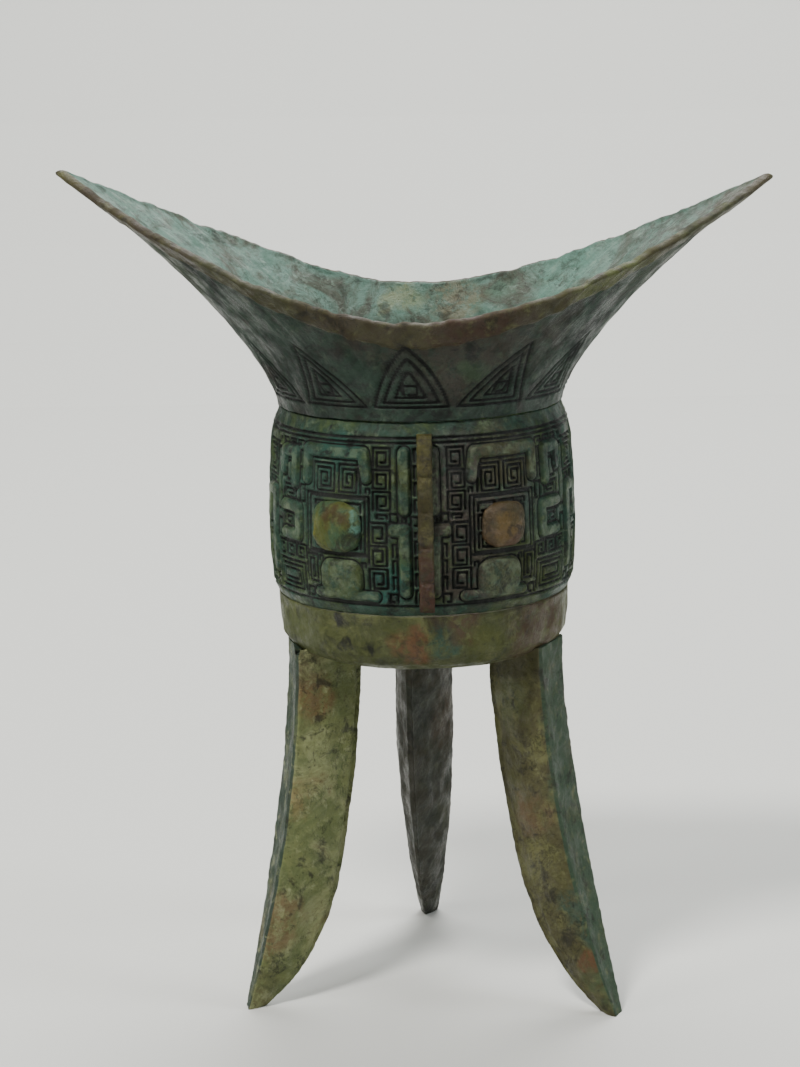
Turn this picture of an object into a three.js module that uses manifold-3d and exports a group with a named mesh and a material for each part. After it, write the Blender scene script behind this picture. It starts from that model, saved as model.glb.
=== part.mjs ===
// A bronze wine vessel with a two-pointed mouth, a relief band, three tapering legs and a loop handle.
// Millimetres, +Z up. The front faces -Y, the wings point along X and the handle is at the back.

import * as THREE from 'three';
import { mergeVertices } from 'three/addons/utils/BufferGeometryUtils.js';
import Module from 'manifold-3d';

const wasm = await Module();
wasm.setup();

// Driving sizes
const clearance = 0.3;
const wall = 2.8;
const underside = 87.6;          // lowest point of the bowl above the table
const bowlHeight = 16.4;         // plain band and the bottom's curve
const drumHeight = 47;           // relief band and shoulder
const drumRadius = 38.9;
const bandRadius = 36.6;
const neckRadius = 35.4;
const mouthRise = 25.1;          // from the neck groove to the lip at the front
const mouthHalfDepth = 42.7;
const leftWing = { reach: 89.2, rise: 33.4, riseCurve: 1.2, planCurve: 2.73 };
const rightWing = { reach: 88, rise: 29.2, riseCurve: 1.32, planCurve: 2.44 };
const rimEase = 0.2;             // how flat the rim runs in the middle, as a share of the wing
const flareCurve = 1.42;
const lipHeight = 5.5;
const lipProud = 1;
const legWidth = 15.2;
const legDepth = 17.5;
const legTaperHeight = 60;       // below it a leg narrows
const footTaperHeight = 50;      // below it a leg thins towards the foot
const footWidth = 4.4;
const footDepth = 5;
const leftFoot = { side: -46.3, back: -22.5 };
const rightFoot = { side: 47.2, back: -30 };
const rearFoot = { side: -1, back: 49 };
const rearRidgeShift = 3;
const flangeWidth = 3.8;
const flangeProud = 2.6;
const flangeOffset = 1.5;
const eyeWidth = 12.5;
const eyeHeight = 11.5;
const eyeProud = 2.4;
const eyeTurn = 32;              // degrees from the front or the back
const handleReach = 27;          // beyond the drum
const handleBar = 5.2;
const handleWidth = 11;
const handleRise = 24;           // its middle above the drum's foot
const handleHalfHeight = 18.5;
const handleSink = 4;            // how far its ends run in under the drum's widest line
const headWidth = 15;
const headDepth = 7.5;

const drumBottom = underside + bowlHeight;
const drumTop = drumBottom + drumHeight;
const rimFront = drumTop + mouthRise;
const steps = 72;

// Each leg: where its outer face leaves the wall, where its foot stands, and which way the outer face looks
const legs = [
  { name: 'leg_front_left', root: 201, foot: leftFoot, facing: 192, ridgeShift: 0 },
  { name: 'leg_front_right', root: -25, foot: rightFoot, facing: -24, ridgeShift: 0 },
  { name: 'leg_rear', root: 91.5, foot: rearFoot, facing: 90, ridgeShift: rearRidgeShift },
];

const degrees = THREE.MathUtils.degToRad;

// Turns rings of points, all alike in number, into one closed surface that looks outwards
function closedSurface(rings, closed) {
  const count = rings[0].length;
  const positions = rings.flat().flatMap((point) => point.toArray());
  const faces = [];
  const strips = closed ? rings.length : rings.length - 1;
  for (let ring = 0; ring < strips; ring += 1) {
    const next = (ring + 1) % rings.length;
    for (let index = 0; index < count; index += 1) {
      const after = (index + 1) % count;
      const a = ring * count + index;
      const b = ring * count + after;
      const c = next * count + after;
      const d = next * count + index;
      faces.push([a, b, c], [a, c, d]);
    }
  }
  if (!closed) {
    const last = (rings.length - 1) * count;
    for (let index = 1; index < count - 1; index += 1) {
      faces.push([0, index + 1, index], [last, last + index, last + index + 1]);
    }
  }
  const corner = (index) => new THREE.Vector3().fromArray(positions, index * 3);
  let volume = 0;
  for (const [a, b, c] of faces) {
    volume += corner(a).dot(corner(b).cross(corner(c)));
  }
  const ordered = volume > 0 ? faces : faces.map(([a, b, c]) => [a, c, b]);
  const geometry = new THREE.BufferGeometry();
  geometry.setAttribute('position', new THREE.Float32BufferAttribute(positions, 3));
  geometry.setIndex(ordered.flat());
  return geometry;
}

function solidOf(geometry) {
  const bare = geometry.clone();
  bare.deleteAttribute('normal');
  bare.deleteAttribute('uv');
  const merged = mergeVertices(bare, 1e-4);
  return new wasm.Manifold(new wasm.Mesh({
    numProp: 3,
    vertProperties: new Float32Array(merged.attributes.position.array),
    triVerts: new Uint32Array(merged.index.array),
  }));
}

function cutAway(geometry, ...tools) {
  let solid = solidOf(geometry);
  for (const tool of tools) {
    solid = solid.subtract(solidOf(tool));
  }
  const mesh = solid.getMesh();
  const result = new THREE.BufferGeometry();
  result.setAttribute('position', new THREE.Float32BufferAttribute(mesh.vertProperties, 3));
  result.setIndex(Array.from(mesh.triVerts));
  return result;
}

// A lathe turned about the vertical axis; its profile runs upwards on the outside
function turned(profile) {
  const points = profile.map(([radius, height]) => new THREE.Vector2(radius, height));
  const geometry = new THREE.LatheGeometry(points, steps);
  geometry.rotateX(Math.PI / 2);
  return geometry;
}

const drumOutline = (grown) => [
  [bandRadius + grown, drumBottom + clearance / 2],
  [drumRadius - 0.7 + grown, drumBottom + 3],
  [drumRadius + grown, drumBottom + 16],
  [drumRadius - 0.4 + grown, drumBottom + 30],
  [drumRadius - 1 + grown, drumTop - 8.5],
  [drumRadius - 1.8 + grown, drumTop - 4.4],
  [neckRadius + 0.3 + grown, drumTop - 1.4],
  [neckRadius + grown, drumTop - clearance / 2],
];

const bowlOutline = (grown) => [
  [0, underside - grown],
  [16, underside + 0.3 - grown],
  [bandRadius - 6.5, underside + 1.7 - grown],
  [bandRadius - 2.2 + grown * 0.7, underside + 3.4 - grown * 0.7],
  [bandRadius - 0.7 + grown, underside + 6.4],
  [bandRadius - 0.3 + grown, underside + 10],
  [bandRadius + grown, drumBottom - clearance / 2],
];

const drumCore = turned([
  [0, drumBottom - 5],
  [bandRadius + clearance, drumBottom - 5],
  ...drumOutline(clearance),
  [neckRadius + clearance, drumTop + 5],
  [0, drumTop + 5],
]);

const bowlCore = turned([
  ...bowlOutline(clearance),
  [bandRadius + clearance, drumBottom + 5],
  [0, drumBottom + 5],
]);

// A point of the mouth: around by angle, up by share from the neck to the rim, and inwards by inset
function mouthPoint(angle, below, share, inset) {
  const across = Math.cos(angle);
  const wing = across < 0 ? leftWing : rightWing;
  const out = Math.abs(across);
  const rimX = across * (wing.reach - inset * 1.3);
  const rimY = Math.sign(Math.sin(angle)) * (mouthHalfDepth - inset) * (1 - out ** wing.planCurve);
  const eased = (Math.hypot(out, rimEase) - rimEase) / (Math.hypot(1, rimEase) - rimEase);
  const rimZ = rimFront + wing.rise * eased ** wing.riseCurve;
  const start = drumTop + clearance / 2;
  const top = 1 - below / (rimZ - start);
  const level = share * top;
  const spread = level ** flareCurve;
  const radius = neckRadius + lipProud - inset;
  return new THREE.Vector3(
    THREE.MathUtils.lerp(radius * Math.cos(angle), rimX, spread),
    THREE.MathUtils.lerp(radius * Math.sin(angle), rimY, spread),
    THREE.MathUtils.lerp(start, rimZ, level),
  );
}

function mouthRing(section) {
  const rings = [];
  for (let step = 0; step < steps; step += 1) {
    const angle = (step / steps) * 2 * Math.PI;
    rings.push(section(angle));
  }
  return closedSurface(rings, true);
}

function mouthFlare() {
  const levels = 8;
  const below = lipHeight + clearance;
  return mouthRing((angle) => {
    const outer = [];
    const inner = [];
    for (let level = 0; level <= levels; level += 1) {
      outer.push(mouthPoint(angle, below, level / levels, lipProud));
      inner.unshift(mouthPoint(angle, below, level / levels, lipProud + wall));
    }
    return [...outer, ...inner];
  });
}

function rimLip() {
  const shareBelow = (angle, below, inset) => mouthPoint(angle, below, 1, inset);
  return mouthRing((angle) => [
    shareBelow(angle, lipHeight, 0),
    shareBelow(angle, 0.8, 0),
    shareBelow(angle, 0, 0.9),
    shareBelow(angle, 0, lipProud + wall - 0.9),
    shareBelow(angle, 0.8, lipProud + wall),
    shareBelow(angle, lipHeight, lipProud + wall),
  ]);
}

function bellyDrum() {
  const outer = drumOutline(0);
  const inner = drumOutline(-wall).reverse();
  return turned([...outer, ...inner, outer[0]]);
}

function baseBowl() {
  const outer = bowlOutline(0);
  const inner = [
    [bandRadius - wall, drumBottom - clearance / 2],
    [bandRadius - wall - 0.4, underside + 10],
    [bandRadius - wall - 2.4, underside + 6],
    [bandRadius - wall - 8, underside + wall + 1.2],
    [14, underside + wall + 0.3],
    [0, underside + wall],
  ];
  return turned([...outer, ...inner]);
}

// A leg is a tapering blade: flat outer face, ridge towards the middle, foot swept outwards
function legBlade({ root, foot, facing, ridgeShift }) {
  const rootRadius = bandRadius - 1.3;
  const start = new THREE.Vector2(rootRadius, 0).rotateAround(new THREE.Vector2(), degrees(root));
  const end = new THREE.Vector2(foot.side, foot.back);
  const outward = new THREE.Vector2(Math.cos(degrees(facing)), Math.sin(degrees(facing)));
  const sideways = new THREE.Vector2(-outward.y, outward.x);
  const topHeight = underside + 4.5;
  const levels = 16;
  const rings = [];
  for (let level = 0; level <= levels; level += 1) {
    const height = (level / levels) * topHeight;
    const sweep = Math.max(0, 1 - height / underside) ** 1.6;
    const centre = start.clone().lerp(end, sweep);
    const wide = footWidth + (legWidth - footWidth) * (1 - Math.max(0, 1 - height / legTaperHeight) ** 2);
    const deep = footDepth + (legDepth - footDepth) * (1 - Math.max(0, 1 - height / footTaperHeight) ** 4);
    const ridge = ridgeShift * (wide / legWidth);
    const corners = [
      [wide / 2, -wide * 0.09], [wide * 0.4, 0], [-wide * 0.4, 0], [-wide / 2, -wide * 0.09],
      [-wide * 0.37 + ridge * 0.5, -deep * 0.5], [ridge - 1.1, -deep], [ridge + 1.1, -deep],
      [wide * 0.37 + ridge * 0.5, -deep * 0.5],
    ];
    rings.push(corners.map(([side, out]) => new THREE.Vector3(
      centre.x + sideways.x * side + outward.x * out,
      centre.y + sideways.y * side + outward.y * out,
      height,
    )));
  }
  return cutAway(closedSurface(rings, false), bowlCore);
}

// Extrudes an outline drawn as (distance from the axis, height) so that it stands on the back, at +Y
function standingPlate(shape, width, bevel) {
  const geometry = new THREE.ExtrudeGeometry(shape, {
    depth: width - 2 * bevel, bevelEnabled: true, bevelSize: bevel, bevelThickness: bevel,
    bevelOffset: -bevel, bevelSegments: 1, curveSegments: 10,
  });
  geometry.translate(0, 0, -(width - 2 * bevel) / 2);
  const turn = new THREE.Matrix4().makeBasis(
    new THREE.Vector3(0, 1, 0), new THREE.Vector3(0, 0, 1), new THREE.Vector3(1, 0, 0));
  return geometry.applyMatrix4(turn);
}

function frontFlange() {
  const bottom = drumBottom + 1.8;
  const top = drumTop - 2.8;
  const face = drumRadius + flangeProud;
  const shape = new THREE.Shape();
  shape.moveTo(neckRadius - 2, bottom);
  shape.lineTo(face - 1.4, bottom);
  shape.lineTo(face - 0.3, bottom + 6);
  shape.lineTo(face, (bottom + top) / 2);
  shape.lineTo(face - 0.4, top - 8);
  shape.lineTo(face - 1.6, top);
  shape.lineTo(neckRadius - 2, top);
  const plate = standingPlate(shape, flangeWidth, 0.5).rotateZ(Math.PI);
  return cutAway(plate.translate(flangeOffset, 0, 0), drumCore);
}

function eyeBoss(azimuth) {
  const halfWidth = eyeWidth / 2;
  const halfHeight = eyeHeight / 2;
  const corner = 3.2;
  const shape = new THREE.Shape();
  shape.absarc(halfWidth - corner, halfHeight - corner, corner, 0, Math.PI / 2);
  shape.absarc(corner - halfWidth, halfHeight - corner, corner, Math.PI / 2, Math.PI);
  shape.absarc(corner - halfWidth, corner - halfHeight, corner, Math.PI, 1.5 * Math.PI);
  shape.absarc(halfWidth - corner, corner - halfHeight, corner, 1.5 * Math.PI, 2 * Math.PI);
  const bevel = 1.2;
  const inside = drumRadius - 3;
  const geometry = new THREE.ExtrudeGeometry(shape, {
    depth: 3 + eyeProud - bevel, bevelEnabled: true, bevelSize: bevel, bevelThickness: bevel,
    bevelOffset: -bevel, bevelSegments: 2, curveSegments: 4,
  });
  geometry.translate(0, 0, inside);
  const angle = degrees(azimuth);
  const outward = new THREE.Vector3(Math.cos(angle), Math.sin(angle), 0);
  const sideways = new THREE.Vector3(-Math.sin(angle), Math.cos(angle), 0);
  geometry.applyMatrix4(new THREE.Matrix4().makeBasis(sideways, new THREE.Vector3(0, 0, 1), outward));
  geometry.translate(0, 0, drumBottom + 21.5);
  return cutAway(geometry, drumCore);
}

// The handle's outer curve is half an ellipse from the drum's shoulder to its foot
const handleMiddle = drumBottom + handleRise;
const handleRoot = drumRadius - handleSink;

function halfRing(outwards, upwards, inwards, downwards) {
  const shape = new THREE.Shape();
  shape.absellipse(handleRoot, handleMiddle, outwards, upwards, -Math.PI / 2, Math.PI / 2);
  if (inwards) {
    shape.absellipse(handleRoot, handleMiddle, inwards, downwards, Math.PI / 2, -Math.PI / 2, true);
  }
  return shape;
}

function handleLoop() {
  const outwards = handleReach + handleSink;
  const shape = halfRing(outwards, handleHalfHeight, outwards - handleBar, handleHalfHeight - handleBar);
  return cutAway(standingPlate(shape, handleWidth, 1.2), drumCore);
}

function handleBeastHead() {
  const top = handleMiddle + handleHalfHeight;
  const shape = new THREE.Shape();
  shape.moveTo(handleRoot, top - 6);
  shape.lineTo(handleRoot, top + 1);
  shape.lineTo(drumRadius + 5, top + headDepth - 4);
  shape.lineTo(drumRadius + 15, top + headDepth - 7);
  shape.lineTo(drumRadius + 23, top - 3);
  shape.lineTo(drumRadius + handleReach + 0.5, top - 10);
  shape.lineTo(drumRadius + 20, top - 14);
  const hollow = halfRing(handleReach + handleSink + clearance, handleHalfHeight + clearance);
  const tool = standingPlate(hollow, headWidth + 4, 0.1);
  return cutAway(standingPlate(shape, headWidth, 1.5), drumCore, tool);
}

const bronze = (color, roughness) => new THREE.MeshStandardMaterial({ color, roughness, metalness: 0.6 });

const vessel = new THREE.Group();

function add(name, geometry, material) {
  const mesh = new THREE.Mesh(geometry, material);
  mesh.name = name;
  vessel.add(mesh);
}

add('mouth_flare', mouthFlare(), bronze(0x4a5546, 0.75));
add('rim_lip', rimLip(), bronze(0x6d6b45, 0.7));
add('belly_drum', bellyDrum(), bronze(0x5f7a66, 0.7));
add('base_bowl', baseBowl(), bronze(0x7a7a48, 0.7));
for (const leg of legs) {
  add(leg.name, legBlade(leg), bronze(0x96945c, 0.65));
}
add('front_flange', frontFlange(), bronze(0xa08440, 0.6));
add('handle_loop', handleLoop(), bronze(0x56604a, 0.7));
add('handle_beast_head', handleBeastHead(), bronze(0x56604a, 0.7));
const eyes = {
  front_left: -90 - eyeTurn,
  front_right: -90 + eyeTurn,
  rear_left: 90 + eyeTurn,
  rear_right: 90 - eyeTurn,
};
for (const [place, azimuth] of Object.entries(eyes)) {
  add(`eye_boss_${place}`, eyeBoss(azimuth), bronze(0xa58a4e, 0.6));
}

// The origin lies on the table, under the middle of the vessel's outline
const outline = new THREE.Box3().setFromObject(vessel);
const middle = outline.getCenter(new THREE.Vector3());
vessel.position.set(-middle.x, -middle.y, -outline.min.z);

export default vessel;
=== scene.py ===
import math

import bmesh
import bpy
import numpy as np
from mathutils import Matrix, Vector, noise


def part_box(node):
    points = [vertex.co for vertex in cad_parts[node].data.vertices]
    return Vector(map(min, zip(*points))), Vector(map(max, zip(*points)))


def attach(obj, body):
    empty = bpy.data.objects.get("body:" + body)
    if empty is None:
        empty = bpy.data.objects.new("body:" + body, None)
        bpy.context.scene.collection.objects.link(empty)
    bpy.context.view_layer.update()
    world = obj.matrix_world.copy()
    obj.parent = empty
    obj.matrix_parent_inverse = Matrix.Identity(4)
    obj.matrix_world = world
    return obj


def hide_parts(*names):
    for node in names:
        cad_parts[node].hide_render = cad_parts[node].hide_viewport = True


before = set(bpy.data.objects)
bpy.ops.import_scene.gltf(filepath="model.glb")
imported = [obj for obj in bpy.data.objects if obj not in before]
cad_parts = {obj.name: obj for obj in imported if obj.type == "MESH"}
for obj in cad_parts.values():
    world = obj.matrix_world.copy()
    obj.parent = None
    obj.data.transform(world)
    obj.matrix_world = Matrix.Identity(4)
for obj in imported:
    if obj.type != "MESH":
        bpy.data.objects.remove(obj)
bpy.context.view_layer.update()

mm = 0.001
drumLow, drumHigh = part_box("belly_drum")
axisX = (drumLow[0] + drumHigh[0]) / 2 / mm   # the vessel's own axis, in the frame
axisY = (drumLow[1] + drumHigh[1]) / 2 / mm
drumTop = 151.0
wall = 2.8


# small tools

def smoothStep(low, high, value):
    share = np.clip((value - low) / (high - low), 0, 1)
    return share * share * (3 - 2 * share)


def signedPower(values, power):
    # squares or sharpens a round form, on both sides alike
    return np.sign(values) * np.abs(values) ** power


def tone(code):
    # from a screen's hex code to linear colour
    parts = [int(code[place:place + 2], 16) / 255 for place in (1, 3, 5)]
    return [part / 12.92 if part < 0.04045 else ((part + 0.055) / 1.055) ** 2.4 for part in parts] + [1.0]


def readPoints(mesh):
    points = np.empty(len(mesh.vertices) * 3)
    mesh.vertices.foreach_get("co", points)
    return points.reshape(-1, 3)


def writePoints(mesh, points):
    mesh.vertices.foreach_set("co", points.ravel())
    mesh.update()


def roughen(mesh, amount, grain, depth=3, seed=0.0):
    # corrosion: moves the skin along its normals by layered noise, in mm
    points = readPoints(mesh)
    normals = np.empty(len(mesh.vertices) * 3)
    mesh.vertices.foreach_get("normal", normals)
    normals = normals.reshape(-1, 3)
    shift = Vector((seed, seed * 2.3, -seed))
    values = np.array([noise.fractal(Vector(point) / grain + shift, 0.9, 2.1, depth) for point in points])
    writePoints(mesh, points + normals * (values * amount)[:, None])


def newMesh(bm, name):
    mesh = bpy.data.meshes.new(name)
    bm.to_mesh(mesh)
    bm.free()
    return mesh


def finishPiece(mesh, name, materials, relief=None, nodes=(), strip=None):
    # from mm about the vessel's axis to metres in the frame, then on to its body
    points = readPoints(mesh)
    points[:, 0] += axisX
    points[:, 1] += axisY
    writePoints(mesh, points * mm)
    bm = bmesh.new()
    bm.from_mesh(mesh)
    bmesh.ops.recalc_face_normals(bm, faces=bm.faces)
    bm.to_mesh(mesh)
    bm.free()
    mesh.shade_smooth()
    values = np.ones(len(mesh.vertices)) if relief is None else relief
    mesh.attributes.new("relief", "FLOAT", "POINT").data.foreach_set("value", values)
    strips = np.zeros(len(mesh.vertices)) if strip is None else strip
    mesh.attributes.new("strip", "FLOAT", "POINT").data.foreach_set("value", strips)
    for material in materials:
        mesh.materials.append(material)
    piece = bpy.data.objects.new(name, mesh)
    bpy.context.scene.collection.objects.link(piece)
    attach(piece, "root")
    if nodes:
        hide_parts(*nodes)
    print("made", name, len(mesh.polygons), "faces")
    return piece


def ringGrid(around, section, start=0.0, sweep=2 * math.pi):
    # a ring with a round section, whose angles stand for places along a profile until it is shaped
    ringRadius = 10
    bm = bmesh.new()
    bmesh.ops.create_circle(bm, segments=section, radius=1)
    bmesh.ops.rotate(bm, verts=bm.verts, cent=(0, 0, 0), matrix=Matrix.Rotation(math.pi / 2, 3, "X"))
    bmesh.ops.translate(bm, verts=bm.verts, vec=(ringRadius, 0, 0))
    bmesh.ops.rotate(bm, verts=bm.verts, cent=(0, 0, 0), matrix=Matrix.Rotation(start, 3, "Z"))
    whole = sweep > 2 * math.pi - 1e-6
    bmesh.ops.spin(bm, geom=bm.verts[:] + bm.edges[:], axis=(0, 0, 1), cent=(0, 0, 0),
                   angle=sweep, steps=around, use_merge=whole)
    if not whole:
        bmesh.ops.holes_fill(bm, edges=bm.edges, sides=0)
    mesh = newMesh(bm, "ring")
    points = readPoints(mesh)
    angle = np.arctan2(points[:, 1], points[:, 0])
    reach = np.hypot(points[:, 0], points[:, 1])
    share = (np.arctan2(points[:, 2], reach - ringRadius) / (2 * math.pi)) % 1.0
    share[share > 0.99999] = 0
    return mesh, angle, share


# patina

# every layer of noise: scale, detail, roughness, distortion and offset, then the values at which it sets in
# and is full, and how strong the layer is at these two
layers = {
    "brokenPatch": ((360, 9, 0.75, 0.5, (5, 5, 3)), (0.4, 0.54, 0.2, 1.0)),
    "wornStrip": ((120, 5), (0.3, 0.5, 0.45, 0.95)),
    "bloom": ((330, 8, 0.7, 0.3, (3, 1, 2)), (0.53, 0.68, 0.0)),
    "crust": ((210, 9, 0.72, 0.6, (7, 4, 1)), (0.52, 0.64, 0.0)),
    "specks": ((900, 5, 0.7, 0.0, (1, 9, 5)), (0.57, 0.7, 0.0, 0.6)),
    "cracked": ((70, 4, 0.5, 0.0, (2, 8, 2)), (0.45, 0.6, 0.0, 0.8)),
    # next: noise for the pale on raised plates, partly wear and partly a painted highlight
    "wearAndHighlight": ((300, 6), (0.46, 0.62, 0.0, 0.4)),
    "dullness": ((160, 6, 0.6, 0.0, (2, 2, 8)), (0.35, 0.65)),
}
bumps = (      # noise, strength and depth in mm
    ((620, 8, 0.75), 0.55, 0.9),
    ((190, 9, 0.7, 0.4, (7, 4, 1)), 0.6, 1.6),
)
bronze = {
    "toneSpan": (0.3, 0.7), "ragged": 16.0, "raggedScale": 110, "crackNoise": (130, 7, 0.7, 1.6, (6, 0, 6)),
    "crackSpan": (0.016, 0.003), "grooveSpan": (0.7, 0.15, 0.0, 0.95), "plateSpan": (1.25, 1.9),
    "groove": "#0c110d", "dullest": 0.8, "specular": 0.3,
}
# what a look says only where it differs
plainLook = {"mottle": 75, "bloom": 0.5, "crust": 0.75, "gloss": 0.34, "depth": 0.4, "rich": 1.2,
             "patches": ()}


def patina(name, look):
    look = {**plainLook, **look}
    material = bpy.data.materials.new(name)
    material.use_nodes = True
    nodes = material.node_tree.nodes
    links = material.node_tree.links
    shader = nodes["Principled BSDF"]
    coords = nodes.new("ShaderNodeTexCoord").outputs["Object"]

    def shade(code):
        # darker and a little richer than the written tone, because the view transform lifts it
        red, green, blue, alpha = tone(code)
        grey = (red + green + blue) / 3
        richer = [max(0.0, grey + (part - grey) * look["rich"]) for part in (red, green, blue)]
        return [part * look["depth"] for part in richer] + [alpha]

    def noiseAt(scale, detail=6, rough=0.6, distort=0.0, offset=(0, 0, 0)):
        place = nodes.new("ShaderNodeMapping")
        place.inputs["Location"].default_value = offset
        links.new(coords, place.inputs["Vector"])
        texture = nodes.new("ShaderNodeTexNoise")
        texture.inputs["Scale"].default_value = scale
        texture.inputs["Detail"].default_value = detail
        texture.inputs["Roughness"].default_value = rough
        texture.inputs["Distortion"].default_value = distort
        links.new(place.outputs["Vector"], texture.inputs["Vector"])
        return texture.outputs["Fac"]

    def mapTo(value, low, high, first=0.0, last=1.0):
        ranged = nodes.new("ShaderNodeMapRange")
        ranged.interpolation_type = "SMOOTHSTEP"
        for socket, number in zip(("From Min", "From Max", "To Min", "To Max"), (low, high, first, last)):
            ranged.inputs[socket].default_value = number
        links.new(value, ranged.inputs["Value"])
        return ranged.outputs["Result"]

    def times(first, second):
        node = nodes.new("ShaderNodeMath")
        node.operation = "MULTIPLY"
        links.new(first, node.inputs[0])
        links.new(second, node.inputs[1])
        return node.outputs[0]

    def mixed(factor, under, over):
        node = nodes.new("ShaderNodeMix")
        node.data_type = "RGBA"
        links.new(factor, node.inputs["Factor"])
        for socket, colour in ((node.inputs[6], under), (node.inputs[7], over)):
            if isinstance(colour, list):
                socket.default_value = colour
            else:
                links.new(colour, socket)
        return node.outputs[2]

    def layer(name, *strength):
        values, span = layers[name]
        return mapTo(noiseAt(*values), *span, *strength)

    ramp = nodes.new("ShaderNodeValToRGB")
    tones = look["tones"]
    firstTone, lastTone = bronze["toneSpan"]
    for count, code in enumerate(tones):
        place = firstTone + (lastTone - firstTone) * count / (len(tones) - 1)
        stop = ramp.color_ramp.elements[count] if count < 2 else ramp.color_ramp.elements.new(place)
        stop.position = place
        stop.color = shade(code)
    links.new(noiseAt(look["mottle"], 8, 0.66, 0.7), ramp.inputs["Fac"])
    colour = ramp.outputs["Color"]

    wander = nodes.new("ShaderNodeTexNoise")      # ragged edges for the patches
    wander.inputs["Scale"].default_value = bronze["raggedScale"]
    wander.inputs["Detail"].default_value = 6
    links.new(coords, wander.inputs["Vector"])
    ragged = nodes.new("ShaderNodeVectorMath")
    ragged.operation = "MULTIPLY_ADD"
    ragged.inputs[1].default_value = (bronze["ragged"] * mm,) * 3
    links.new(wander.outputs["Color"], ragged.inputs[0])
    links.new(coords, ragged.inputs[2])
    broken = layer("brokenPatch")
    middle = Vector((axisX, axisY, 0)) + Vector((1, 1, 1)) * bronze["ragged"] / 2
    for x, y, z, radius, code, strength in look["patches"]:
        gap = nodes.new("ShaderNodeVectorMath")
        gap.operation = "DISTANCE"
        gap.inputs[1].default_value = (Vector((x, y, z)) + middle) * mm
        links.new(ragged.outputs[0], gap.inputs[0])
        fade = times(mapTo(gap.outputs["Value"], radius * 1.3 * mm, radius * 0.6 * mm, 0.0, strength), broken)
        colour = mixed(fade, colour, shade(code))

    if "strip" in look:      # a stretch of its own colour, such as a leg's outer face
        stripNode = nodes.new("ShaderNodeAttribute")
        stripNode.attribute_name = "strip"
        fade = times(mapTo(stripNode.outputs["Fac"], 0.3, 0.7), layer("wornStrip"))
        colour = mixed(fade, colour, shade(look["strip"]))

    # fine crust, pale bloom and black pits
    colour = mixed(layer("bloom", look["bloom"]), colour, shade(look["pale"]))
    colour = mixed(layer("crust", look["crust"]), colour, shade(look["dark"]))
    colour = mixed(layer("specks"), colour, shade(look["dark"]))

    # hairline cracks follow the middle value of a twisted noise
    centred = nodes.new("ShaderNodeMath")
    centred.operation = "SUBTRACT"
    centred.inputs[1].default_value = 0.5
    links.new(noiseAt(*bronze["crackNoise"]), centred.inputs[0])
    line = nodes.new("ShaderNodeMath")
    line.operation = "ABSOLUTE"
    links.new(centred.outputs[0], line.inputs[0])
    cracks = times(mapTo(line.outputs[0], *bronze["crackSpan"]), layer("cracked"))
    colour = mixed(cracks, colour, shade(look["dark"]))

    reliefNode = nodes.new("ShaderNodeAttribute")
    reliefNode.attribute_name = "relief"
    height = reliefNode.outputs["Fac"]
    colour = mixed(mapTo(height, *bronze["grooveSpan"]), colour, shade(bronze["groove"]))
    # raised plates take the pale tone: partly worn metal, partly a painted highlight
    wearAndHighlight = times(mapTo(height, *bronze["plateSpan"]), layer("wearAndHighlight"))
    colour = mixed(wearAndHighlight, colour, shade(look["pale"]))
    links.new(colour, shader.inputs["Base Color"])

    links.new(layer("dullness", look["gloss"], bronze["dullest"]), shader.inputs["Roughness"])
    shader.inputs["Metallic"].default_value = 0.0
    shader.inputs["Specular IOR Level"].default_value = bronze["specular"]

    normal = None
    for values, strength, deep in bumps:      # wider pits over the fine grain
        bump = nodes.new("ShaderNodeBump")
        bump.inputs["Strength"].default_value = strength
        bump.inputs["Distance"].default_value = deep * mm
        links.new(noiseAt(*values), bump.inputs["Height"])
        if normal is not None:
            links.new(normal, bump.inputs["Normal"])
        normal = bump.outputs["Normal"]
    links.new(normal, shader.inputs["Normal"])
    return material


# relief, drawn in mm as grooves and raised plates on a fine grid of heights

far = 9.0        # a distance that no line or plate reaches
# distances in mm over which a groove rises, and a plate's outline sinks in, rises again and steps up
castEdges = {"groove": (0.2, 0.46), "sinks": (0.1, 0.45), "rises": (0.5, 0.95), "plate": (-0.35, 0.12)}
# small spirals: step between the places tried, and room they need beside plates and grooves
filling = {"step": 0.4, "besidePlate": 0.62, "besideGroove": 0.85}


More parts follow.
